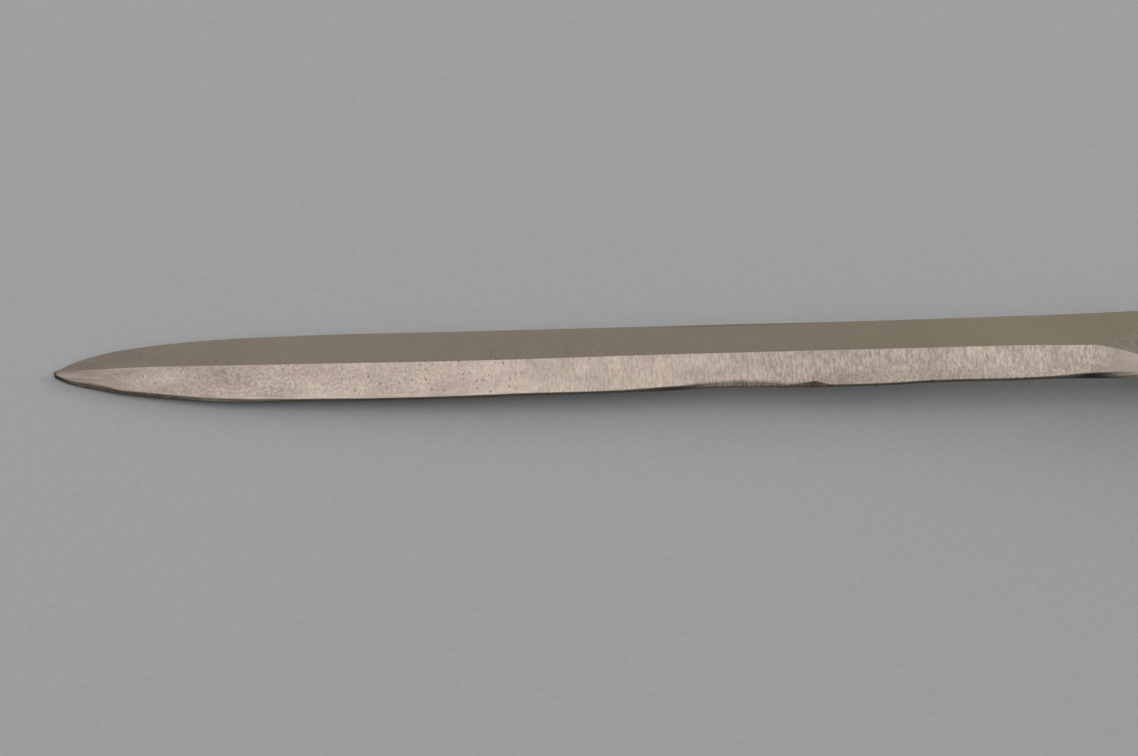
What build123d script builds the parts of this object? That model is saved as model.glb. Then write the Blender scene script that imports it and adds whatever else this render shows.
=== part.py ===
from build123d import *
import math
import os

# A letter opener: a hand-ground blade on a full tang, with brass bolsters and riveted wooden scales.
# It is modelled with the tip at x = 0, the handle towards +X, the two edges at -Y and +Y and the
# bar's mid-plane at z = 0. At the end every piece is tipped by the same angle, so that the point and
# the handle's underside lie on the desk together. Millimetres and degrees.

# The blade, ground from flat bar
STOCK_THICKNESS = 2.0
BLADE_WIDTH = 12.0  # where the curve of the point ends
SIDE_TAPER = 0.13  # angle by which each edge closes in towards the handle
EDGE_THICKNESS = 0.6  # the edges are left blunt
RIDGE_THICKNESS = 1.94  # over both ridges, at the blade's full width
NOSE_RADIUS = 0.9
POINT_RADIUS = 33.0
SHOULDER_RADIUS = 127.0
SHOULDER_TURN = 10.0  # the part of the point's curve that the shoulder arc turns
GRIND_LENGTH = 146.0  # from the tip to where the facets start to lift out of the bar at the edge
RUNOUT_RADIUS = 28.0
GRIND_SWEEP = 35.0  # from square: the facets leave the ridge later than they leave the edge
NECK_LENGTH = 4.0  # full bar between the facets and the handle

# The handle, which widens and thickens towards its butt
HANDLE_LENGTH = 92.0
BUTT_WIDTH = 18.0
BUTT_THICKNESS = 15.0
BUTT_STRAIGHT = 16.0
BUTT_RADIUS = 14.0
BUTT_CORNER = 5.0
EDGE_ROUND = 3.0
BOLSTER_LENGTH = 15.0

# Pins through the bolsters, and rivets of two halves through the wood
PIN_DIAMETER = 2.0
PIN_SPACING = 6.0
HEAD_DIAMETER = 6.4
HEAD_DEPTH = 1.8
SOCKET_DIAMETER = 4.4
STUD_DIAMETER = 2.8
FRONT_RIVET_INSET = 12.0  # from the front end of the wood
REAR_RIVET_INSET = 17.0  # from the butt
HOLE_CLEARANCE = 0.05  # round a rivet's shank
SOCKET_GAP = 0.4  # between the socket's end and the stud's head
BORE_SPARE = 0.5  # beyond the stud's end in the socket

OVERSHOOT = 1.0  # by which a cutting body passes what it cuts

half_stock = STOCK_THICKNESS / 2
half_edge = EDGE_THICKNESS / 2
bevel = (RIDGE_THICKNESS - EDGE_THICKNESS) / BLADE_WIDTH
taper = math.radians(SIDE_TAPER)
shoulder = math.radians(SHOULDER_TURN)
sweep = math.tan(math.radians(GRIND_SWEEP))

# The nose hands over to the point's arc at the angle from which the arcs just reach the blade's width
arc_rise = POINT_RADIUS * math.cos(shoulder) + SHOULDER_RADIUS * (math.cos(taper) - math.cos(shoulder))
nose_end = math.degrees(math.acos((arc_rise - BLADE_WIDTH / 2) / (POINT_RADIUS - NOSE_RADIUS)))

# The facets end where their line at the edge has moved out by the width of a facet as deep as the bar
facet_width = (half_stock - half_edge) / bevel
lift_angle = math.acos(1 - facet_width / RUNOUT_RADIUS)
runout_length = RUNOUT_RADIUS * math.sin(lift_angle) + sweep * facet_width
runout_turn = math.degrees(math.acos(1 - (facet_width + OVERSHOOT) / RUNOUT_RADIUS))

handle_front = GRIND_LENGTH + runout_length + NECK_LENGTH
scale_front = handle_front + BOLSTER_LENGTH
length = handle_front + HANDLE_LENGTH


def point_arcs():
    """One side of the point, from the tip to where the straight edge starts."""
    nose = JernArc((0, 0), (0, 1), NOSE_RADIUS, nose_end - 90)
    point = JernArc(nose @ 1, nose % 1, POINT_RADIUS, SHOULDER_TURN - nose_end)
    last = JernArc(point @ 1, point % 1, SHOULDER_RADIUS, -SHOULDER_TURN - SIDE_TAPER)
    return [nose, point, last]


def straight_edge(x_end):
    """The straight stretch of the same side, up to a given place."""
    start = point_arcs()[-1] @ 1
    return Line(start, (x_end, start.Y - math.tan(taper) * (x_end - start.X)))


def both_sides(edges):
    """The face between one side's edges and their mirror image."""
    ends = edges[0] @ 0, edges[-1] @ 1
    mirrored = [edge.mirror(Plane.XZ) for edge in edges]
    closing = [Line(end, (end.X, -end.Y)) for end in ends if end.Y > 0]
    return make_face([*edges, *mirrored, *closing])


def ground_waste():
    """What grinding takes off above the facet on the +Y side of the upper face.

    The facet holds the edge's curve and runs in from it along parallel lines, so the bevel is the same
    all along the edge. Towards the handle its line leaves the edge in an arc, which lifts the facet
    out of the bar and opens the ridge into a fork.
    """
    arcs = point_arcs()
    straight = straight_edge(GRIND_LENGTH)
    runout = JernArc(straight @ 1, straight % 1, RUNOUT_RADIUS, runout_turn)
    outside = runout @ 1
    ahead = -2 * facet_width
    rest = Polyline(outside, (ahead, outside.Y), (ahead, 0), (0, 0))
    waste = make_face([*arcs, straight, runout, rest])
    inward = Vector(sweep, -1, bevel)
    start = Vector(0, 0, half_edge) - inward * OVERSHOOT
    return Solid.extrude(waste.face().moved(Location(start)), inward * (facet_width + 2 * OVERSHOOT))


def handle_outline():
    """The tang's outline, which the bolsters and the wood are ground flush with."""
    front = straight_edge(handle_front) @ 1
    swell = Vector(length - BUTT_STRAIGHT, BUTT_WIDTH / 2)
    middle = (front + swell) / 2
    corner_x = length - BUTT_RADIUS + math.sqrt(BUTT_RADIUS**2 - swell.Y**2)
    corner = Vector(corner_x, swell.Y)
    side = [
        TangentArc(front, middle, tangent=(1, 0)),
        TangentArc(swell, middle, tangent=(-1, 0)),
        Line(swell, corner),
    ]
    mirrored = [edge.mirror(Plane.XZ) for edge in side]
    butt = ThreePointArc(corner, (length, 0), (corner.X, -corner.Y))
    closing = Line(front, (front.X, -front.Y))
    outline = make_face([*side, butt, *mirrored, closing])
    return fillet(outline.vertices().filter_by(lambda v: abs(v.X - corner.X) < 1e-6), BUTT_CORNER)


def rest_slope():
    """Rise of the blade over its length when the lower ridge and the butt touch the desk."""
    slopes = []
    for arc in point_arcs():
        for step in range(51):
            edge = arc @ (step / 50)
            ridge_x = edge.X + sweep * edge.Y
            ridge_z = half_edge + bevel * edge.Y
            slopes.append((BUTT_THICKNESS / 2 - ridge_z) / (length - ridge_x))
    return min(slopes)


slope = rest_slope()


def face_height(x):
    """Height of the handle's upper face over the bar's mid-plane. The lower face mirrors it."""
    return BUTT_THICKNESS / 2 - slope * (length - x)


def handle_form():
    """The whole handle as it is ground after assembly: bolsters, wood, tang and fastener heads."""
    block = extrude(handle_outline(), amount=BUTT_THICKNESS, both=True)
    rear = length + OVERSHOOT
    wedge = Polyline(
        (handle_front, -face_height(handle_front)),
        (rear, -face_height(rear)),
        (rear, face_height(rear)),
        (handle_front, face_height(handle_front)),
        close=True,
    )
    form = block & extrude(Plane.XZ * make_face(wedge), amount=BUTT_WIDTH, both=True)
    faces = form.faces().sort_by(Axis.Z)
    return fillet(faces[0].edges() + faces[-1].edges(), EDGE_ROUND)


def cheek(form, x_start, x_end):
    """The part of the handle above the tang, between two places along it."""
    size = (x_end - x_start, 2 * BUTT_WIDTH, BUTT_THICKNESS)
    corner = Pos(x_start, -BUTT_WIDTH, half_stock)
    return form & corner * Box(*size, align=Align.MIN)


def rod(x, diameter, z_low, z_high):
    """An upright round bar."""
    bottom = (Align.CENTER, Align.CENTER, Align.MIN)
    return Pos(x, 0, z_low) * Cylinder(diameter / 2, z_high - z_low, align=bottom)


def through(x, diameter):
    """A round bar right through the handle."""
    return rod(x, diameter, -BUTT_THICKNESS, BUTT_THICKNESS)


def head_seat(x):
    """Height at which a rivet's head sits in the wood."""
    return face_height(x) - HEAD_DEPTH


def rivet_stud(form, x):
    """The upper half of a rivet: its head is ground flush with the wood."""
    head = form & rod(x, HEAD_DIAMETER, head_seat(x), BUTT_THICKNESS)
    return head + rod(x, STUD_DIAMETER, -half_stock, head_seat(x))


def rivet_socket(form, x):
    """The lower half of a rivet, a tube that takes the stud."""
    head = form & rod(x, HEAD_DIAMETER, -BUTT_THICKNESS, -head_seat(x))
    tube = rod(x, SOCKET_DIAMETER, -head_seat(x), head_seat(x) - SOCKET_GAP)
    return head + tube - rod(x, STUD_DIAMETER, -half_stock - BORE_SPARE, BUTT_THICKNESS)


def make_blade(pin_places, rivet_places):
    """Blade, neck and tang: one bar with four ground facets and drilled for pins and rivets."""
    plate = extrude(both_sides([*point_arcs(), straight_edge(handle_front)]), amount=half_stock, both=True)
    waste = ground_waste()
    for side in (waste, waste.mirror(Plane.XZ)):
        plate = plate - side - side.mirror(Plane.XY)
    blade = plate + extrude(handle_outline(), amount=half_stock, both=True)
    for x in pin_places:
        blade -= through(x, PIN_DIAMETER)
    for x in rivet_places:
        blade -= through(x, SOCKET_DIAMETER + 2 * HOLE_CLEARANCE)
    return blade


def make_bolster(form, pin_places):
    """The upper bolster."""
    bolster = cheek(form, handle_front, scale_front)
    for x in pin_places:
        bolster -= through(x, PIN_DIAMETER)
    return bolster


def make_scale(form, rivet_places):
    """The upper half of the wooden handle, drilled and counterbored for the rivets."""
    scale = cheek(form, scale_front, length)
    for x in rivet_places:
        scale -= through(x, SOCKET_DIAMETER + 2 * HOLE_CLEARANCE)
        scale -= rod(x, HEAD_DIAMETER, head_seat(x), BUTT_THICKNESS)
    return scale


def make_pieces():
    """Every piece by its name, in the bar's own frame."""
    form = handle_form()
    bolster_middle = (handle_front + scale_front) / 2
    front_rivet = scale_front + FRONT_RIVET_INSET
    rear_rivet = length - REAR_RIVET_INSET
    pins = {"front": bolster_middle - PIN_SPACING / 2, "rear": bolster_middle + PIN_SPACING / 2}
    rivets = {"front": front_rivet, "middle": (front_rivet + rear_rivet) / 2, "rear": rear_rivet}
    bolster = make_bolster(form, pins.values())
    scale = make_scale(form, rivets.values())
    pieces = {
        "blade": make_blade(pins.values(), rivets.values()),
        "upper_bolster": bolster,
        "lower_bolster": bolster.mirror(Plane.XY),
        "upper_scale": scale,
        "lower_scale": scale.mirror(Plane.XY),
    }
    for name, x in pins.items():
        pieces[f"{name}_bolster_pin"] = form & through(x, PIN_DIAMETER)
    for name, x in rivets.items():
        pieces[f"{name}_rivet_stud"] = rivet_stud(form, x)
        pieces[f"{name}_rivet_socket"] = rivet_socket(form, x)
    return pieces


def laid_on_desk(pieces):
    """All pieces tipped onto the desk, with the origin under the middle of the whole opener."""
    tipped = {name: Rot(0, -math.degrees(math.atan(slope)), 0) * piece for name, piece in pieces.items()}
    boxes = [piece.bounding_box() for piece in tipped.values()]
    x_low = min(box.min.X for box in boxes)
    x_high = max(box.max.X for box in boxes)
    shift = Pos(-(x_low + x_high) / 2, 0, -min(box.min.Z for box in boxes))
    return {name: shift * piece for name, piece in tipped.items()}


os.makedirs("parts", exist_ok=True)
for name, piece in laid_on_desk(make_pieces()).items():
    export_step(piece, f"parts/{name}.step")
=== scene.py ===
import math

import bmesh
import bpy
import numpy as np
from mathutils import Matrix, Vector

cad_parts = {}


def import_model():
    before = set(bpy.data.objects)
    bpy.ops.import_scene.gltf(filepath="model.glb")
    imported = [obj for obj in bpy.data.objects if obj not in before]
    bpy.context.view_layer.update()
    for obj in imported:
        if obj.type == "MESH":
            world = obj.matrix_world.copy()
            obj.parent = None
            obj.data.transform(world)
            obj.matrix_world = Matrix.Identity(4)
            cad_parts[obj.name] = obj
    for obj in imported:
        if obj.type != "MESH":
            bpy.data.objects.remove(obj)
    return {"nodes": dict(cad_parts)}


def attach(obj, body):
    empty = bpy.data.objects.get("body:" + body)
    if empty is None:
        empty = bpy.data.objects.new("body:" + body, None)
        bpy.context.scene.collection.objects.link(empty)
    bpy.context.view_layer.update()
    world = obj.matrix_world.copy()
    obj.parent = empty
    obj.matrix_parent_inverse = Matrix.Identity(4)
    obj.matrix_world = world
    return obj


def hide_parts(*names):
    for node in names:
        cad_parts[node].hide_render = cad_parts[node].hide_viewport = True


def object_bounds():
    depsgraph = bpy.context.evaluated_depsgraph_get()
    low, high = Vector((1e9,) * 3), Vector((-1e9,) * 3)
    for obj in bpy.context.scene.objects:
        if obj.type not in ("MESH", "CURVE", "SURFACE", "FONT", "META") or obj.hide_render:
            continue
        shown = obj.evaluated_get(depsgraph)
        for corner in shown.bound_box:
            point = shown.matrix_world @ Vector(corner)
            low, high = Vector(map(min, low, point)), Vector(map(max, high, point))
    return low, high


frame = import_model()
cad_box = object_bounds()

# The blade's own frame is in millimetres: tip at x = 0, handle towards +x, far edge at +y and the
# bar's mid-plane at z = 0. The sizes are those of the solid that the ground mesh stands for.
MM = 0.001
HALF_STOCK = 1.0
HALF_WIDTH = 6.0
HALF_EDGE = 0.3
HALF_RIDGE = 0.97
SIDE_TAPER = math.radians(0.13)
NOSE_RADIUS = 0.9
POINT_RADIUS = 33.0
SHOULDER_RADIUS = 127.0
SHOULDER_TURN = math.radians(10)
GRIND_LENGTH = 146.0
RUNOUT_RADIUS = 28.0
GRIND_SWEEP = math.tan(math.radians(35))
NECK_LENGTH = 4.0
HANDLE_LENGTH = 92.0
HALF_BUTT = 7.5

BEVEL = (HALF_RIDGE - HALF_EDGE) / HALF_WIDTH
FACET_WIDTH = (HALF_STOCK - HALF_EDGE) / BEVEL
RUNOUT_REACH = math.sqrt(RUNOUT_RADIUS**2 - (RUNOUT_RADIUS - FACET_WIDTH) ** 2)
HANDLE_FRONT = GRIND_LENGTH + RUNOUT_REACH + GRIND_SWEEP * FACET_WIDTH + NECK_LENGTH
LENGTH = HANDLE_FRONT + HANDLE_LENGTH

# What hand grinding left uneven, as (middle, reach, amount) along the blade
NEAR_EDGE_WAVES = (
    (0, 4, 0.1), (6.5, 5, -0.2), (13, 15, -0.3), (56, 30, 0.31), (80, 10, 0.13), (97, 9, -0.25),
    (99.5, 1.2, 0.08), (103, 10, -0.3), (103.8, 1, 0.1), (108.2, 1.4, 0.12), (120, 11, 0.15),
    (133.5, 12, -0.2), (152, 16, -0.3),
)
FAR_EDGE_WAVES = ((0, 4, -0.12), (13, 12, -0.13), (27, 17, -0.33), (60, 40, -0.08), (160, 46, 0.4))
RIDGE_WAVES = ((14, 22, 0.3), (63, 32, -0.21), (157, 14, -0.36))

# The rest of what it left: the nose pinched by a share of its width, the ridge straying fully only
# where the blade is wide, and the run-out starting early
NEAR_NOSE_PINCH = 0.12
FAR_NOSE_PINCH = 0.38
NOSE_PINCH_END = (0.3, 2.0)
RIDGE_FULL_WIDTH = 4.0
RIDGE_FLAT = 0.05
GRIND_LEAD = 1.4

# Bevels along the edges, in the same form as the waves, and how far each kind drops for its width
SOFT_BEVEL_WAVES = ((6.3, 4.2, 0.25), (102, 10, 0.5))
STEEP_BEVEL_WAVES = ((1.5, 4, 0.16), (18, 24, 0.3), (92, 8, 0.23), (155.8, 8.5, 0.3))
FAR_BREAK_WAVES = ((3, 9, 0.14),)
SOFT_BEVEL_SLOPE = 0.9
STEEP_BEVEL_SLOPE = 2.2
EDGE_BREAK = 0.08
NEAR_BEVEL_MOST = 0.35
FAR_BEVEL_MOST = 0.2
LEAST_LAND = 0.2
NICK_PLACES = (109.8, 113.0, 115.0)
NICK_DEPTHS = (0, 0.85, 0)

# How strongly the facets and edges were worked, stained and pitted, and where sheen, shade and a highlight
# are painted on them, in the same form
STAIN_WAVES = ((10, 20, 1.1), (25, 8, 0.5), (104, 14, 0.15), (114, 8, 0.3), (124, 16, 0.5), (156, 9, 0.3))
PAINTED_SHEEN_WAVES = ((56, 34, 1.1), (71, 20, 0.75), (92, 20, 0.5), (143, 12, 1.1), (151, 9, 0.5))
EDGE_SHADE_WAVES = ((0, 4, 1.0), (14, 16, 0.6), (92, 8, 0.9), (112.7, 3.7, 0.8), (153.5, 5, 1.0))
HEEL_HIGHLIGHT_WAVES = ((163.5, 6, 1.0),)
PIT_WAVES = ((20, 16, 1.0), (44, 14, 0.6), (62, 16, 1.0))
FAR_PIT_WAVES = ((83, 12, 0.9), (117, 8, 0.7))
COARSE_WAVES = ((30, 15, 0.9),)

# How strong the other marks and the painted shade at the nose are, and the share of stains and pits that the
# far side has
NEAR_NOSE_SHADE = 0.19
FAR_NOSE_SHADE = 0.09
MARGIN_HONING = 0.8
FOOT_RUBBING = 0.8
FOOT_STAIN = 0.35
FOOT_STAIN_MORE = 0.4
FINE_GRAIN = 0.35
BANDS = 0.45
BANDS_MORE = 0.4
PITS_EVERYWHERE = 0.15
FAR_SIDE_SHARE = 0.45

# Where such marks change, as (start, end) along the blade
NOSE_TIP_END = (0.1, 0.7)
NOSE_RIM_END = (0.3, 3)
NOSE_SHADE_END = (6, 20)
HONED_POINT_END = (6, 10)
HONED_MARGIN_START = (18, 26)
HONED_MARGIN_END = (66, 76)
STROKES_START = (48, 82)
WARM_START = (50, 160)
FINE_GRAIN_END = (92, 112)
BANDS_START = (105, 120)
RUBBED_FOOT_START = (112, 120)
FOOT_STAIN_FADE = (132, 146)
PLAIN_HEEL_START = (154, 160)
BAR_SIDE_START = (155, 159.5)

# Where they change, in the same form but inwards from an edge
NOSE_RIM_WIDTH = (0.1, 0.6)
HONED_MARGIN_WIDTH = (0.5, 1.3)
RUBBED_FOOT_WIDTH = (1.6, 2.6)

# Where the painted shade of a hard and of a soft bevel ends, in the same form but as shares of the bevel's
# width
HARD_BEVEL_TOP = (0.85, 1.0)
SOFT_BEVEL_TOP = (0.6, 1.5)

# How the ground mesh is divided, and where it meets the tang of the solid
KINDS = ("flat", "near_facet", "far_facet", "land", "bevel")
RING_STEP = 0.3
TIP_LENGTH = 1.0
TIP_RINGS = 24
FACET_COLUMNS = 12
FLAT_COLUMNS = 4
LAND_COLUMNS = 4
BEVEL_COLUMNS = 3
CUT_BEFORE_HANDLE = 1.5
CUT_PLACE = HANDLE_FRONT - CUT_BEFORE_HANDLE
SETTLE_LENGTH = 4.0
SEAM_LENGTH = 0.3
SHARP_ANGLE = math.radians(20)
WELD_DISTANCE = 1e-7

# How the ground faces and the blade's slope are worked out
RUNOUT_ARC_MOST = 0.99
FACE_SEARCH = (-1.0, 1.5 * FACET_WIDTH)
HALVINGS = 36
TURN_STEPS = 400

# The camera, from its fit to the blade's lines in the photograph
IMAGE_WIDTH = 1138
SENSOR_WIDTH = 36.0
FOCAL_PIXELS = 2845.0
CAMERA_ELEVATION = math.radians(53.0)
CAMERA_AZIMUTH = math.radians(0.72)
CAMERA_DISTANCE = 0.424
CAMERA_TARGET = Vector((-0.0553, -0.00136, 0.0))
CAMERA_CLIP_START = 0.01

# The room and its lights: each light's place as seen from the object, size and share of the floor's level
FLOOR_HALF = 6.0
LIGHT_DISTANCE = 2.2
PAIRED_BOX_SIZE = (0.9, 0.9)
PAIRED_BOXES = (
    ("side_box", (0.906, 0.211, 0.366), 0.066),
    ("low_box", (0.906, 0.366, 0.211), 0.118),
    ("rear_box", (0.766, 0.621, 0.166), 0.022),
)
SINGLE_BOXES = (
    ("rear_box", (0, 0.974, 0.225), (4.2, 1.0), 0.1),
    ("top_strip", (0, 0.39, 0.92), (2.6, 0.7), 0.045),
)
ROOM_LIGHT_FROM = (0, -0.6, 0.8)
ROOM_DARK = 0.01
ROOM_BRIGHT = 0.87


def arc_height(x, start, turn, radius):
    """Height of an arc that leaves start at the angle turn above the axis and bends back towards it."""
    centre_x = start[0] + radius * math.sin(turn)
    centre_y = start[1] - radius * math.cos(turn)
    return centre_y + np.sqrt(np.maximum(radius**2 - (x - centre_x) ** 2, 0))


def arc_end(start, turn_in, turn_out, radius):
    """Where such an arc has bent from one angle to another."""
    run = radius * (math.sin(turn_in) - math.sin(turn_out))
    rise = radius * (math.cos(turn_out) - math.cos(turn_in))
    return start[0] + run, start[1] + rise


ARC_RISE = POINT_RADIUS * math.cos(SHOULDER_TURN)
ARC_RISE += SHOULDER_RADIUS * (math.cos(SIDE_TAPER) - math.cos(SHOULDER_TURN))
NOSE_TURN = math.acos((ARC_RISE - HALF_WIDTH) / (POINT_RADIUS - NOSE_RADIUS))
NOSE_JOIN = arc_end((0, 0), math.pi / 2, NOSE_TURN, NOSE_RADIUS)
SHOULDER_JOIN = arc_end(NOSE_JOIN, NOSE_TURN, SHOULDER_TURN, POINT_RADIUS)
EDGE_JOIN = arc_end(SHOULDER_JOIN, SHOULDER_TURN, -SIDE_TAPER, SHOULDER_RADIUS)


def side_half_width(x):
    """Half the bar's width: nose, point, shoulder and the straight, slightly closing edge."""
    straight = EDGE_JOIN[1] - math.tan(SIDE_TAPER) * (x - EDGE_JOIN[0])
    return np.select(
        [x <= 0, x < NOSE_JOIN[0], x < SHOULDER_JOIN[0], x < EDGE_JOIN[0]],
        [
            0 * x,
            arc_height(x, (0, 0), math.pi / 2, NOSE_RADIUS),
            arc_height(x, NOSE_JOIN, NOSE_TURN, POINT_RADIUS),
            arc_height(x, SHOULDER_JOIN, SHOULDER_TURN, SHOULDER_RADIUS),
        ],
        straight,
    )


def facet_trace(x):
    """Where a facet meets the edge's height: along the edge, then outwards in the run-out's arc."""
    start_x = GRIND_LENGTH - GRIND_LEAD
    start_y = float(side_half_width(np.array(start_x)))
    centre_x = start_x + RUNOUT_RADIUS * math.sin(SIDE_TAPER)
    centre_y = start_y + RUNOUT_RADIUS * math.cos(SIDE_TAPER)
    reach = np.clip(x - centre_x, 0, RUNOUT_ARC_MOST * RUNOUT_RADIUS)
    return np.where(x < start_x, side_half_width(x), centre_y - np.sqrt(RUNOUT_RADIUS**2 - reach**2))


def face_height(x, across):
    """Height of the ground face over the mid-plane, at a distance across from the ridge's line."""
    low, high = [np.full(np.shape(x), end) for end in FACE_SEARCH]
    for _ in range(HALVINGS):
        middle = (low + high) / 2
        inside = facet_trace(x - GRIND_SWEEP * middle) - across > middle
        low = np.where(inside, middle, low)
        high = np.where(inside, high, middle)
    return np.minimum(HALF_STOCK, HALF_EDGE + BEVEL * low)


def waves(x, parts):
    """The sum of smooth swells along the blade."""
    total = 0 * x
    for middle, reach, amount in parts:
        total = total + amount * (1 + np.cos(np.pi * np.clip((x - middle) / reach, -1, 1))) / 2
    return total


def after(x, change):
    """0 before a change's start, 1 after its end and smooth in between."""
    start, end = change
    t = np.clip((x - start) / (end - start), 0, 1)
    return t * t * (3 - 2 * t)


def before(x, change):
    """1 before a change's start, 0 after its end and smooth in between."""
    return 1 - after(x, change)


def settled(x):
    """1 along the blade, falling to 0 where the ground mesh meets the plain bar."""
    return before(x, (CUT_PLACE - SETTLE_LENGTH, CUT_PLACE))


def edge_width(x, edge_waves, nose_pinch):
    """Distance of one edge from the blade's axis, as hand grinding left it."""
    width = side_half_width(x)
    pinch = nose_pinch * before(x, NOSE_PINCH_END)
    return width * (1 - pinch) + settled(x) * np.minimum(1, width) * waves(x, edge_waves)


def near_edge(x):
    """Such a distance for the edge on the near side."""
    return edge_width(x, NEAR_EDGE_WAVES, NEAR_NOSE_PINCH)


def far_edge(x):
    """Such a distance for the edge on the far side."""
    return edge_width(x, FAR_EDGE_WAVES, FAR_NOSE_PINCH)


def ridge_line(x):
    """How far the ridge strays from the blade's axis."""
    return settled(x) * waves(x, RIDGE_WAVES) * np.minimum(1, side_half_width(x) / RIDGE_FULL_WIDTH)


def near_bevels(x):
    """Width and drop of the bevels along the near edge, with the nick among them."""
    soft = EDGE_BREAK + waves(x, SOFT_BEVEL_WAVES)
    steep = waves(x, STEEP_BEVEL_WAVES) + np.interp(x, NICK_PLACES, NICK_DEPTHS)
    room = np.minimum(1, NEAR_BEVEL_MOST * side_half_width(x) / (soft + steep))
    return room * (soft + steep), room * (SOFT_BEVEL_SLOPE * soft + STEEP_BEVEL_SLOPE * steep)


def bevel_softness(x):
    """The share of the soft kind in the bevel along the near edge."""
    soft = waves(x, SOFT_BEVEL_WAVES)
    return soft / (EDGE_BREAK + soft + waves(x, STEEP_BEVEL_WAVES))


def far_bevel(x):
    """Width of the narrow bevel along the far edge."""
    return np.minimum(EDGE_BREAK + waves(x, FAR_BREAK_WAVES), FAR_BEVEL_MOST * side_half_width(x))


def flat_widths(x):
    """Half the flat between the facets: on the near and the far side of the ridge, and underneath."""
    near_room = near_edge(x) - near_bevels(x)[0] + ridge_line(x)
    far_room = far_edge(x) - far_bevel(x) - ridge_line(x)
    low_room = np.minimum(near_edge(x), far_edge(x))
    fork = facet_trace(x - GRIND_SWEEP * FACET_WIDTH) - FACET_WIDTH
    crest = RIDGE_FLAT * np.minimum(1, side_half_width(x))
    return [np.minimum(np.maximum(crest, fork), room - crest) for room in (near_room, far_room, low_room)]


class Section:
    """Columns of places round the blade, each with y and z for every ring, their kinds and the corners."""

    def __init__(self):
        self.columns = []
        self.kinds = []
        self.corners = []

    def append(self, column, kind):
        """Adds one column."""
        self.columns.append(column)
        self.kinds.append(kind)

    def strip(self, start, end, count, kind):
        """Adds columns straight from one place to another, without the first."""
        for share in np.arange(1, count + 1) / count:
            self.append(tuple(a + (b - a) * share for a, b in zip(start, end)), kind)
        self.corners.append(len(self.columns) - 1)

    def face(self, start, end, count, kind, height):
        """Adds such columns on a ground face, from one y to another."""
        for share in np.arange(1, count + 1) / count:
            y = start + (end - start) * share
            self.append((y, height(y)), kind)
        self.corners.append(len(self.columns) - 1)

    def places(self):
        """The y and the z of every place, ring by column."""
        return [np.stack(values, axis=1) for values in zip(*self.columns)]


def ring_places():
    """Where the rings stand along the blade: close together at the tip, then evenly spaced."""
    tip = TIP_LENGTH * (np.arange(1, TIP_RINGS) / TIP_RINGS) ** 2
    return np.concatenate([tip, np.linspace(TIP_LENGTH, CUT_PLACE, round(CUT_PLACE / RING_STEP))])


def blade_section(x):
    """The blade's section at every ring, from the near bevel over the ridge and back underneath."""
    w_near = near_edge(x)
    w_far = far_edge(x)
    ridge = ridge_line(x)
    lean, drop = near_bevels(x)
    far_break = far_bevel(x)
    flat_near, flat_far, flat_low = flat_widths(x)

    def upper(y):
        """Height of the upper face."""
        return face_height(x, np.maximum(np.abs(y - ridge), np.where(y < ridge, flat_near, flat_far)))

    def lower(y):
        """Height of the lower face."""
        return -face_height(x, np.maximum(np.abs(y), flat_low))

    near_top = lean - w_near, upper(lean - w_near)
    near_low = -w_near, lower(-w_near)
    near_foot = -w_near, np.maximum(near_top[1] - drop, near_low[1] + LEAST_LAND)
    far_top = w_far - far_break, upper(w_far - far_break)
    far_foot = w_far, far_top[1] - far_break
    far_low = w_far, lower(w_far)
    section = Section()
    section.face(near_top[0], ridge - flat_near, FACET_COLUMNS, "near_facet", upper)
    section.face(ridge - flat_near, ridge + flat_far, FLAT_COLUMNS, "flat", upper)
    section.face(ridge + flat_far, far_top[0], FACET_COLUMNS, "far_facet", upper)
    section.strip(far_top, far_foot, 1, "bevel")
    section.strip(far_foot, far_low, LAND_COLUMNS, "land")
    section.face(w_far, flat_low, FACET_COLUMNS, "far_facet", lower)
    section.face(flat_low, -flat_low, FLAT_COLUMNS, "flat", lower)
    section.face(-flat_low, -w_near, FACET_COLUMNS, "near_facet", lower)
    section.strip(near_low, near_foot, LAND_COLUMNS, "land")
    section.strip(near_foot, near_top, BEVEL_COLUMNS, "bevel")
    return section


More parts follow.
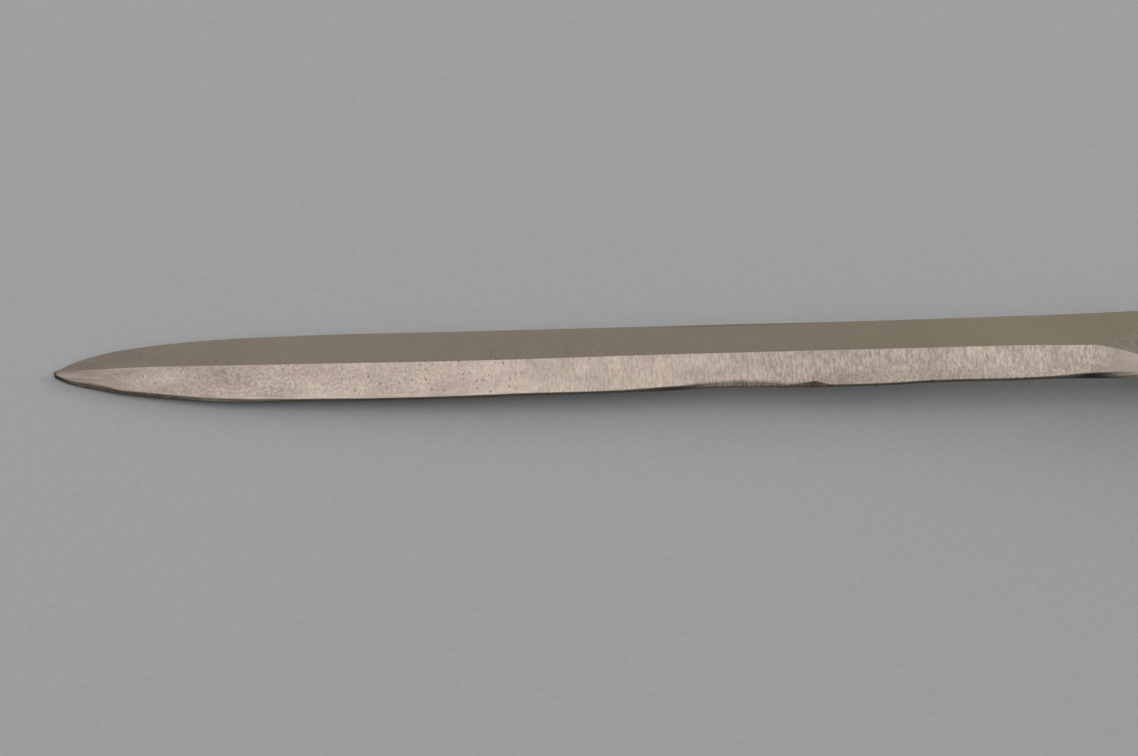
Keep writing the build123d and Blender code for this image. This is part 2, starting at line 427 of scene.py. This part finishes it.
def surface_marks(x, y):
    """How strongly each place was worked, stained and pitted, and where sheen, shade and a highlight are
    painted, for the steel's material.
    """
    near = y < 0
    side_share = np.where(near, 1, FAR_SIDE_SHARE)
    from_near_edge = near_edge(x) + y
    from_far_edge = far_edge(x) - y
    up_bevel = np.minimum(from_near_edge / near_bevels(x)[0], from_far_edge / far_bevel(x))
    softness = bevel_softness(x)
    bevel_top = [hard + (soft - hard) * softness for hard, soft in zip(HARD_BEVEL_TOP, SOFT_BEVEL_TOP)]
    # Painted shade at the nose: along its rim, at its very tip and over the facets just behind it
    nose_rim = before(x, NOSE_RIM_END) * before(np.minimum(from_near_edge, from_far_edge), NOSE_RIM_WIDTH)
    nose_shade = np.where(near, NEAR_NOSE_SHADE, FAR_NOSE_SHADE) * before(x, NOSE_SHADE_END)
    margin = after(x, HONED_MARGIN_START) * before(x, HONED_MARGIN_END)
    honed_margin = margin * before(from_near_edge, HONED_MARGIN_WIDTH)
    rubbed_foot = after(x, RUBBED_FOOT_START) * before(from_near_edge, RUBBED_FOOT_WIDTH)
    foot_stain = (FOOT_STAIN + FOOT_STAIN_MORE * before(x, FOOT_STAIN_FADE)) * rubbed_foot
    fine_grain = before(x, FINE_GRAIN_END) * (1 - waves(x, COARSE_WAVES))
    pits = PITS_EVERYWHERE + waves(x, PIT_WAVES) + np.where(near, 0, waves(x, FAR_PIT_WAVES))
    return {
        "strokes": near * after(x, STROKES_START) * (1 - FOOT_RUBBING * rubbed_foot),
        "honed": np.maximum(before(x, HONED_POINT_END), MARGIN_HONING * honed_margin),
        "stain": side_share * np.clip(waves(x, STAIN_WAVES) + foot_stain, 0, 1),
        # Painted sheen on the near facet, in stretches
        "painted_sheen": near * waves(x, PAINTED_SHEEN_WAVES),
        # How far painted shade reaches up a bevel and onto the facet above it
        "bevel_shade_share": before(np.clip(up_bevel, 0, 2), bevel_top),
        # Painted shade on the edge lands and bevels, at the tip, the nick, the heel and elsewhere
        "edge_shade": np.clip(waves(x, EDGE_SHADE_WAVES), 0, 1),
        # Painted shade at the nose
        "nose": np.maximum(np.maximum(nose_rim, before(x, NOSE_TIP_END)), nose_shade),
        "banded": BANDS + BANDS_MORE * after(x, BANDS_START),
        "even": np.maximum(FINE_GRAIN * fine_grain, after(x, PLAIN_HEEL_START)),
        "pitted": side_share * np.clip(pits, 0, 1),
        "warm": after(x, WARM_START),
        "bar_side": after(x, BAR_SIDE_START),
        # Painted highlight on the bar's side by the handle
        "heel_highlight": waves(x, HEEL_HIGHLIGHT_WAVES),
    }


def rest_slope():
    """Rise of the blade over its length, lying on its lower ridge and the handle's underside."""
    turn = np.linspace(NOSE_TURN, -SIDE_TAPER, TURN_STEPS)
    start = np.where(turn > SHOULDER_TURN, NOSE_TURN, SHOULDER_TURN)
    join = np.where(turn[:, None] > SHOULDER_TURN, NOSE_JOIN, SHOULDER_JOIN)
    radius = np.where(turn > SHOULDER_TURN, POINT_RADIUS, SHOULDER_RADIUS)
    edge_x = join[:, 0] + radius * (np.sin(start) - np.sin(turn))
    edge_y = join[:, 1] + radius * (np.cos(turn) - np.cos(start))
    ridge_z = HALF_EDGE + BEVEL * edge_y
    ridge_x = edge_x + GRIND_SWEEP * edge_y
    slopes = (HALF_BUTT - ridge_z) / (LENGTH - ridge_x)
    lowest = int(np.argmin(slopes))
    return slopes[lowest], ridge_x[lowest], ridge_z[lowest]


SLOPE, CONTACT_X, CONTACT_Z = rest_slope()
TILT = math.atan(SLOPE)
LIFT = CONTACT_Z * math.cos(TILT) - CONTACT_X * math.sin(TILT)


def on_desk(x, y, z):
    """Places in the blade's own frame, in millimetres, as places on the desk in metres."""
    row_x = (x * math.cos(TILT) - z * math.sin(TILT) + HALF_EDGE * math.sin(TILT)) * MM + cad_box[0].x
    row_z = (x * math.sin(TILT) + z * math.cos(TILT) + LIFT) * MM
    return np.stack([row_x, y * MM, row_z], axis=-1)


def tang_mesh(bm):
    """The neck's end and the tang of the blade's solid, cut off square to the bar."""
    bm.from_mesh(frame["nodes"]["blade"].data)
    bmesh.ops.remove_doubles(bm, verts=bm.verts, dist=WELD_DISTANCE)
    bmesh.ops.bisect_plane(
        bm,
        geom=[*bm.verts, *bm.edges, *bm.faces],
        dist=WELD_DISTANCE,
        plane_co=Vector(on_desk(CUT_PLACE + SEAM_LENGTH, 0.0, 0.0)),
        plane_no=Vector((math.cos(TILT), 0, math.sin(TILT))),
        clear_inner=True,
    )
    for edge in bm.edges:
        edge.smooth = edge.is_boundary or edge.calc_face_angle(0) < SHARP_ANGLE


def ring_corners(bm, points, marks):
    """The corners of the blade's rings, each with its marks of work and wear."""
    layers = {name: bm.verts.layers.float.new(name) for name in marks}
    verts = [[bm.verts.new(point) for point in ring] for ring in points]
    for name, layer in layers.items():
        for ring, values in zip(verts, marks[name]):
            for vert, value in zip(ring, values):
                vert[layer] = value
    return verts


def ring_faces(bm, verts, section, kind_layer):
    """The faces between the rings and over the tip, with sharp edges along the section's corners."""
    for ring, following in zip(verts, verts[1:]):
        for column, kind in enumerate(section.kinds):
            face = bm.faces.new((ring[column - 1], ring[column], following[column], following[column - 1]))
            face[kind_layer] = KINDS.index(kind)
        for column in section.corners:
            bm.edges.get((ring[column], following[column])).smooth = False
    bm.faces.new(verts[0])[kind_layer] = KINDS.index("land")


def ring_edges(bm, ring):
    """The edges round one ring."""
    return [bm.edges.get((ring[column - 1], ring[column])) for column in range(len(ring))]


def close_seam(bm, open_edges, kind_layer):
    """The short stretch between the last ring and the tang."""
    seam = bmesh.ops.bridge_loops(bm, edges=open_edges)["faces"]
    bmesh.ops.recalc_face_normals(bm, faces=bm.faces)
    for face in seam:
        face[kind_layer] = KINDS.index("flat")
        for edge in face.edges:
            edge.smooth = edge.calc_face_angle(0) < SHARP_ANGLE


def map_grain(bm):
    """Smooth shading, and a map that gives the grain its direction along the blade."""
    grain_map = bm.loops.layers.uv.new("grain")
    for face in bm.faces:
        face.smooth = True
        for loop in face.loops:
            loop[grain_map].uv = loop.vert.co.x, loop.vert.co.y + loop.vert.co.z


def mark_faces(mesh):
    """One face attribute for each kind of surface on the blade, for its material."""
    kind = np.zeros(len(mesh.polygons), np.int32)
    mesh.attributes["kind"].data.foreach_get("value", kind)
    for index, name in enumerate(KINDS):
        mark = mesh.attributes.new(name, "FLOAT", "FACE")
        mark.data.foreach_set("value", (kind == index).astype(np.float32))


def ground_mesh():
    """The mesh of the blade as hand grinding left it, joined to the tang of its solid."""
    places = ring_places()
    section = blade_section(places)
    y, z = section.places()
    x = np.broadcast_to(places[:, None], y.shape)
    bm = bmesh.new()
    tang_mesh(bm)
    kind_layer = bm.faces.layers.int.new("kind")
    for face in bm.faces:
        face[kind_layer] = KINDS.index("flat")
    verts = ring_corners(bm, on_desk(x, y, z), surface_marks(x, y))
    open_edges = [edge for edge in bm.edges if edge.is_boundary]
    ring_faces(bm, verts, section, kind_layer)
    open_edges += ring_edges(bm, verts[-1])
    close_seam(bm, open_edges, kind_layer)
    map_grain(bm)
    mesh = bpy.data.meshes.new("ground_blade")
    bm.to_mesh(mesh)
    bm.free()
    mark_faces(mesh)
    return mesh


def ground_blade():
    """The ground blade, in the place of its solid."""
    blade = bpy.data.objects.new("ground_blade", ground_mesh())
    blade.data.materials.append(ground_steel())
    bpy.context.scene.collection.objects.link(blade)
    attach(blade, "root")
    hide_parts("blade")


def new_material(name):
    """An empty node material, its tree and its main shader."""
    material = bpy.data.materials.new(name)
    material.use_nodes = True
    tree = material.node_tree
    shader = tree.nodes["Principled BSDF"]
    return material, tree, shader


def add(tree, kind, inputs=None, **settings):
    """A shader node with its settings and inputs; an input that is a socket is linked."""
    made = tree.nodes.new("ShaderNode" + kind)
    for name, value in settings.items():
        setattr(made, name, value)
    for name, value in (inputs or {}).items():
        if isinstance(value, bpy.types.NodeSocket):
            tree.links.new(value, made.inputs[name])
        else:
            made.inputs[name].default_value = value
    return made


def stretched_noise(tree, scale, detail, roughness):
    """Noise over the piece's own place, with its grain per metre along each axis."""
    place = add(tree, "TexCoord").outputs["Object"]
    mapped = add(tree, "Mapping", {"Vector": place, "Scale": scale}).outputs["Vector"]
    made = add(tree, "TexNoise", {"Vector": mapped, "Scale": 1.0, "Detail": detail, "Roughness": roughness})
    return made.outputs["Fac"]


def spread(tree, value, low, high, new_low=0.0, new_high=1.0):
    """A value's range taken to another range, and kept inside it."""
    ends = {"Value": value, "From Min": low, "From Max": high, "To Min": new_low, "To Max": new_high}
    return add(tree, "MapRange", ends).outputs["Result"]


def math_node(tree, operation, first, second):
    """Two values added, multiplied and so on."""
    return add(tree, "Math", {0: first, 1: second}, operation=operation).outputs["Value"]


def vector_node(tree, operation, first, second):
    """A node that adds two vectors, multiplies them and so on."""
    return add(tree, "VectorMath", {0: first, 1: second}, operation=operation)


def mixed(tree, share, first, second):
    """Two colours mixed by a share."""
    return add(tree, "Mix", {0: share, 6: first, 7: second}, data_type="RGBA").outputs[2]


def multiplied(tree, first, second):
    """Two colours multiplied."""
    return add(tree, "Mix", {0: 1.0, 6: first, 7: second}, data_type="RGBA", blend_type="MULTIPLY").outputs[2]


def blended(tree, share, first, second):
    """Two values mixed by a share."""
    return add(tree, "Mix", {0: share, 2: first, 3: second}, data_type="FLOAT").outputs[0]


def attribute(tree, name):
    """An attribute of the mesh."""
    return add(tree, "Attribute", attribute_name=name).outputs["Fac"]


def bumped(tree, height, distance, strength=1.0):
    """A normal that follows a height, in metres."""
    return add(tree, "Bump", {"Height": height, "Distance": distance, "Strength": strength}).outputs["Normal"]


def pitting(tree):
    """Small ragged pits in loose groups: 1 in a pit and 0 around it."""
    place = add(tree, "TexCoord").outputs["Object"]
    ragged = add(tree, "TexNoise", {"Vector": place, "Scale": 3500.0, "Detail": 1.0}).outputs["Color"]
    shift = vector_node(tree, "MULTIPLY", ragged, (0.0005, 0.0005, 0.0005)).outputs["Vector"]
    bent = vector_node(tree, "ADD", place, shift).outputs["Vector"]
    cells = add(tree, "TexVoronoi", {"Vector": bent, "Scale": 1050.0}, voronoi_dimensions="2D")
    chance = add(tree, "SeparateColor", {"Color": cells.outputs["Color"]}).outputs["Red"]
    size = spread(tree, chance, 0.3, 1.0, 0.0, 0.27)
    groups = spread(tree, stretched_noise(tree, (150, 220, 220), 2.0, 0.5), 0.35, 0.55)
    depth = math_node(tree, "SUBTRACT", math_node(tree, "MULTIPLY", size, groups), cells.outputs["Distance"])
    return spread(tree, depth, 0.0, 0.08)


def grinding_grain(tree):
    """Fine grain: speckles, strokes across the blade where it was ground, streaks where it was honed."""
    speckles = stretched_noise(tree, (2300, 1900, 1900), 2.0, 0.9)
    strokes = stretched_noise(tree, (3000, 700, 700), 2.0, 0.9)
    streaks = stretched_noise(tree, (160, 2600, 2600), 2.0, 0.6)
    ground = blended(tree, attribute(tree, "strokes"), speckles, strokes)
    return blended(tree, attribute(tree, "honed"), ground, streaks)


def facet_colour(tree, near):
    """Colour of the ground facets: warmer towards the handle, banded and stained in places, with painted
    sheen on the near one in stretches.
    """
    warm = attribute(tree, "warm")
    ground = mixed(tree, warm, (0.60, 0.485, 0.43, 1), (0.605, 0.515, 0.425, 1))
    # Painted sheen: stretches of the near facet lightened in place of reflected light
    lit = math_node(tree, "MULTIPLY", attribute(tree, "painted_sheen"), 0.45)
    with_painted_sheen = mixed(tree, lit, ground, (0.74, 0.60, 0.53, 1))
    bands = spread(tree, stretched_noise(tree, (420, 90, 90), 3.0, 0.6), 0.35, 0.65, 1.0, 0.0)
    band = math_node(tree, "MULTIPLY", attribute(tree, "banded"), bands)
    near_steel = mixed(tree, band, with_painted_sheen, (0.475, 0.405, 0.355, 1))
    far_steel = mixed(tree, warm, (0.582, 0.488, 0.397, 1), (0.592, 0.512, 0.368, 1))
    steel = mixed(tree, near, far_steel, near_steel)
    tone = spread(tree, stretched_noise(tree, (95, 240, 240), 3.0, 0.6), 0.45, 0.75, 0.0, 0.5)
    toned = mixed(tree, tone, steel, (0.58, 0.50, 0.40, 1))
    clouds = spread(tree, stretched_noise(tree, (70, 190, 190), 4.0, 0.6), 0.3, 0.6)
    stain = math_node(tree, "MULTIPLY", attribute(tree, "stain"), clouds)
    return mixed(tree, stain, toned, (0.40, 0.33, 0.288, 1))


def grinding_tint(tree, near, cut):
    """What grinding multiplies the facets' colour by: deep and patchy on the near one, faint on the far."""
    deep = mixed(tree, cut, (0.77, 0.75, 0.73, 1), (1.21, 1.23, 1.25, 1))
    scored = mixed(tree, attribute(tree, "even"), deep, (1, 1, 1, 1))
    patches = spread(tree, stretched_noise(tree, (150, 320, 320), 2.0, 0.5), 0.35, 0.65)
    uneven = mixed(tree, patches, (0.925, 0.91, 0.92, 1), (1.075, 1.085, 1.065, 1))
    faint = mixed(tree, cut, (0.92, 0.92, 0.92, 1), (1.08, 1.08, 1.08, 1))
    return mixed(tree, near, faint, multiplied(tree, scored, uneven))


def edge_colours(tree, cut, bar):
    """Colours of the edge lands and of the bevels: darkened with painted shade, deeper in places, and
    bar-coloured with a painted highlight on the bar's side by the handle.
    """
    edge_shade = attribute(tree, "edge_shade")
    bar_side = attribute(tree, "bar_side")
    # Painted highlight on the bar's side by the handle
    highlighted_side = mixed(tree, attribute(tree, "heel_highlight"), bar, (0.76, 0.65, 0.51, 1))
    # Painted shade: lands and bevels coloured darker than the bar they are cut from
    shaded_land_colour = mixed(tree, cut, (0.16, 0.13, 0.10, 1), (0.28, 0.24, 0.195, 1))
    shaded_bevel_colour = mixed(tree, cut, (0.13, 0.11, 0.09, 1), (0.27, 0.235, 0.20, 1))
    # Deeper painted shade where the edge shade mark is
    land = mixed(tree, edge_shade, mixed(tree, bar_side, shaded_land_colour, highlighted_side), (0.06, 0.048, 0.038, 1))
    bevel = mixed(tree, edge_shade, mixed(tree, bar_side, shaded_bevel_colour, highlighted_side), (0.04, 0.032, 0.025, 1))
    return land, bevel


def steel_colour(tree, near, grain, pits):
    """Colour of the whole blade: facets, bevels with painted shade, edge lands, the mottled flat bar and a
    nose darkened with painted shade.
    """
    cut = spread(tree, grain, 0.4, 0.6)
    marked = multiplied(tree, facet_colour(tree, near), grinding_tint(tree, near, cut))
    pitted = mixed(tree, pits, marked, (0.30, 0.24, 0.20, 1))
    mottle = spread(tree, stretched_noise(tree, (1100, 1100, 1100), 4.0, 0.7), 0.35, 0.65)
    bar = mixed(tree, mottle, (0.36, 0.312, 0.257, 1), (0.50, 0.43, 0.352, 1))
    land, bevel = edge_colours(tree, cut, bar)
    # Painted shade of the bevels, reaching onto the facet above a soft bevel
    painted_bevel_shade = mixed(tree, attribute(tree, "bevel_shade_share"), pitted, bevel)
    plain = mixed(tree, attribute(tree, "land"), bar, land)
    facets = math_node(tree, "ADD", near, attribute(tree, "far_facet"))
    ground = math_node(tree, "ADD", facets, attribute(tree, "bevel"))
    faces = mixed(tree, ground, plain, painted_bevel_shade)
    # Painted shade darkens the nose
    return mixed(tree, attribute(tree, "nose"), faces, (0.09, 0.075, 0.06, 1))


def ground_steel():
    """Warm grey steel with the marks of grinding on its facets, stains, pits and a mottled flat bar."""
    material, tree, shader = new_material("ground_steel")
    near = attribute(tree, "near_facet")
    grain = grinding_grain(tree)
    pits = math_node(tree, "MULTIPLY", pitting(tree), attribute(tree, "pitted"))
    tree.links.new(steel_colour(tree, near, grain, pits), shader.inputs["Base Color"])
    tree.links.new(spread(tree, grain, 0.3, 0.7, 0.40, 0.32), shader.inputs["Roughness"])
    shader.inputs["Metallic"].default_value = 1.0
    shader.inputs["Anisotropic"].default_value = 0.7
    tangent = add(tree, "Tangent", direction_type="UV_MAP", uv_map="grain").outputs["Tangent"]
    tree.links.new(tangent, shader.inputs["Tangent"])
    cuts = math_node(tree, "MULTIPLY", grain, blended(tree, near, 0.15, 1.0))
    dips = math_node(tree, "MULTIPLY", pits, near)
    height = math_node(tree, "SUBTRACT", cuts, math_node(tree, "MULTIPLY", dips, 3.0))
    tree.links.new(bumped(tree, height, 0.00001), shader.inputs["Normal"])
    return material


def handle_wood():
    """Oiled dark hardwood with its grain along the handle."""
    material, tree, shader = new_material("oiled_hardwood")
    grain = stretched_noise(tree, (14, 420, 420), 5.0, 0.6)
    figure = stretched_noise(tree, (7, 90, 90), 3.0, 0.5)
    pores = stretched_noise(tree, (90, 2600, 2600), 2.0, 0.5)
    heart = mixed(tree, spread(tree, grain, 0.3, 0.7), (0.055, 0.026, 0.014, 1), (0.20, 0.095, 0.045, 1))
    streaked = mixed(tree, spread(tree, figure, 0.4, 0.7, 0.0, 0.6), heart, (0.26, 0.13, 0.065, 1))
    pored = mixed(tree, spread(tree, pores, 0.62, 0.72, 0.0, 0.8), streaked, (0.02, 0.010, 0.006, 1))
    tree.links.new(pored, shader.inputs["Base Color"])
    tree.links.new(spread(tree, grain, 0.3, 0.7, 0.62, 0.5), shader.inputs["Roughness"])
    shader.inputs["Specular IOR Level"].default_value = 0.35
    dips = spread(tree, pores, 0.58, 0.72, 1.0, 0.0)
    height = math_node(tree, "ADD", dips, math_node(tree, "MULTIPLY", grain, 0.6))
    tree.links.new(bumped(tree, height, 0.00004, 0.6), shader.inputs["Normal"])
    return material


def satin_brass(name, scale):
    """Handled brass with brushing along one direction and a thin film that dims it."""
    material, tree, shader = new_material(name)
    brushing = stretched_noise(tree, scale, 3.0, 0.6)
    film = stretched_noise(tree, (160, 160, 160), 4.0, 0.6)
    bright = mixed(tree, spread(tree, brushing, 0.3, 0.7), (0.62, 0.46, 0.22, 1), (0.74, 0.57, 0.30, 1))
    dulled = mixed(tree, spread(tree, film, 0.45, 0.75, 0.0, 0.7), bright, (0.46, 0.33, 0.17, 1))
    tree.links.new(dulled, shader.inputs["Base Color"])
    shader.inputs["Metallic"].default_value = 1.0
    tree.links.new(spread(tree, film, 0.3, 0.75, 0.26, 0.46), shader.inputs["Roughness"])
    tree.links.new(bumped(tree, brushing, 0.00001, 0.5), shader.inputs["Normal"])
    return material


def table_grey():
    """Matt grey with a faint fibre."""
    material, tree, shader = new_material("pale_floor")
    fibres = stretched_noise(tree, (900, 900, 900), 3.0, 0.6)
    tint = mixed(tree, spread(tree, fibres, 0.3, 0.7), (0.335, 0.335, 0.344, 1), (0.355, 0.355, 0.365, 1))
    tree.links.new(tint, shader.inputs["Base Color"])
    shader.inputs["Roughness"].default_value = 0.85
    shader.inputs["Specular IOR Level"].default_value = 0.1
    return material


def pale_floor():
    """A large plain grey table top."""
    mesh = bpy.data.meshes.new("floor")
    corners = [(FLOOR_HALF * x, FLOOR_HALF * y, 0) for x, y in ((-1, -1), (1, -1), (1, 1), (-1, 1))]
    mesh.from_pydata(corners, [], [(0, 1, 2, 3)])
    mesh.materials.append(table_grey())
    floor = bpy.data.objects.new("floor", mesh)
    bpy.context.scene.collection.objects.link(floor)


def soft_box(name, direction, size, share):
    """A soft light that gives the floor under it a share of the level of one."""
    towards = Vector(direction).normalized()
    light = bpy.data.lights.new(name, "AREA")
    light.shape = "RECTANGLE"
    light.size, light.size_y = size
    light.energy = share * (math.pi * LIGHT_DISTANCE) ** 2 / towards.z
    lamp = bpy.data.objects.new(name, light)
    lamp.location = towards * LIGHT_DISTANCE + Vector((CAMERA_TARGET.x, 0, 0))
    lamp.rotation_mode = "QUATERNION"
    lamp.rotation_quaternion = towards.to_track_quat("Z", "Y")
    lamp.visible_camera = False
    bpy.context.scene.collection.objects.link(lamp)


def studio_light():
    """Soft boxes to both sides, behind and above the object."""
    for side_name, side in (("left", -1), ("right", 1)):
        for name, (x, y, z), share in PAIRED_BOXES:
            soft_box(f"{side_name}_{name}", (side * x, y, z), PAIRED_BOX_SIZE, share)
    for name, direction, size, share in SINGLE_BOXES:
        soft_box(name, direction, size, share)


def room_light():
    """A room that is dim behind the object and bright on the camera's side."""
    world = bpy.data.worlds.new("dim_room")
    world.use_nodes = True
    tree = world.node_tree
    place = add(tree, "TexCoord").outputs["Generated"]
    facing = vector_node(tree, "DOT_PRODUCT", place, ROOM_LIGHT_FROM).outputs["Value"]
    level = spread(tree, facing, 0.0, 1.0, ROOM_DARK, ROOM_BRIGHT)
    tree.links.new(level, tree.nodes["Background"].inputs["Strength"])
    tree.nodes["Background"].inputs["Color"].default_value = (1, 1, 1, 1)
    bpy.context.scene.world = world


def make_camera():
    """The camera at the photograph's viewing angle."""
    lens = bpy.data.cameras.new("camera")
    lens.sensor_width = SENSOR_WIDTH
    lens.lens = FOCAL_PIXELS / IMAGE_WIDTH * SENSOR_WIDTH
    lens.clip_start = CAMERA_CLIP_START
    ahead = Vector((math.sin(CAMERA_AZIMUTH), math.cos(CAMERA_AZIMUTH), 0)) * math.cos(CAMERA_ELEVATION)
    ahead.z = -math.sin(CAMERA_ELEVATION)
    camera = bpy.data.objects.new("camera", lens)
    camera.location = CAMERA_TARGET - ahead * CAMERA_DISTANCE
    camera.rotation_mode = "QUATERNION"
    camera.rotation_quaternion = ahead.to_track_quat("-Z", "Y")
    bpy.context.scene.collection.objects.link(camera)
    bpy.context.scene.camera = camera


def dress(endings, material):
    """Gives the CAD nodes whose names have one of the endings their material."""
    for name, node in frame["nodes"].items():
        if name.endswith(endings):
            node.data.materials.clear()
            node.data.materials.append(material)


ground_blade()
dress(("_bolster",), satin_brass("satin_brass", (60, 2400, 2400)))
dress(("_pin", "_stud", "_socket"), satin_brass("turned_brass", (2400, 200, 2400)))
dress(("_scale",), handle_wood())
pale_floor()
studio_light()
room_light()
make_camera()
bpy.context.scene.view_settings.view_transform = "Standard"
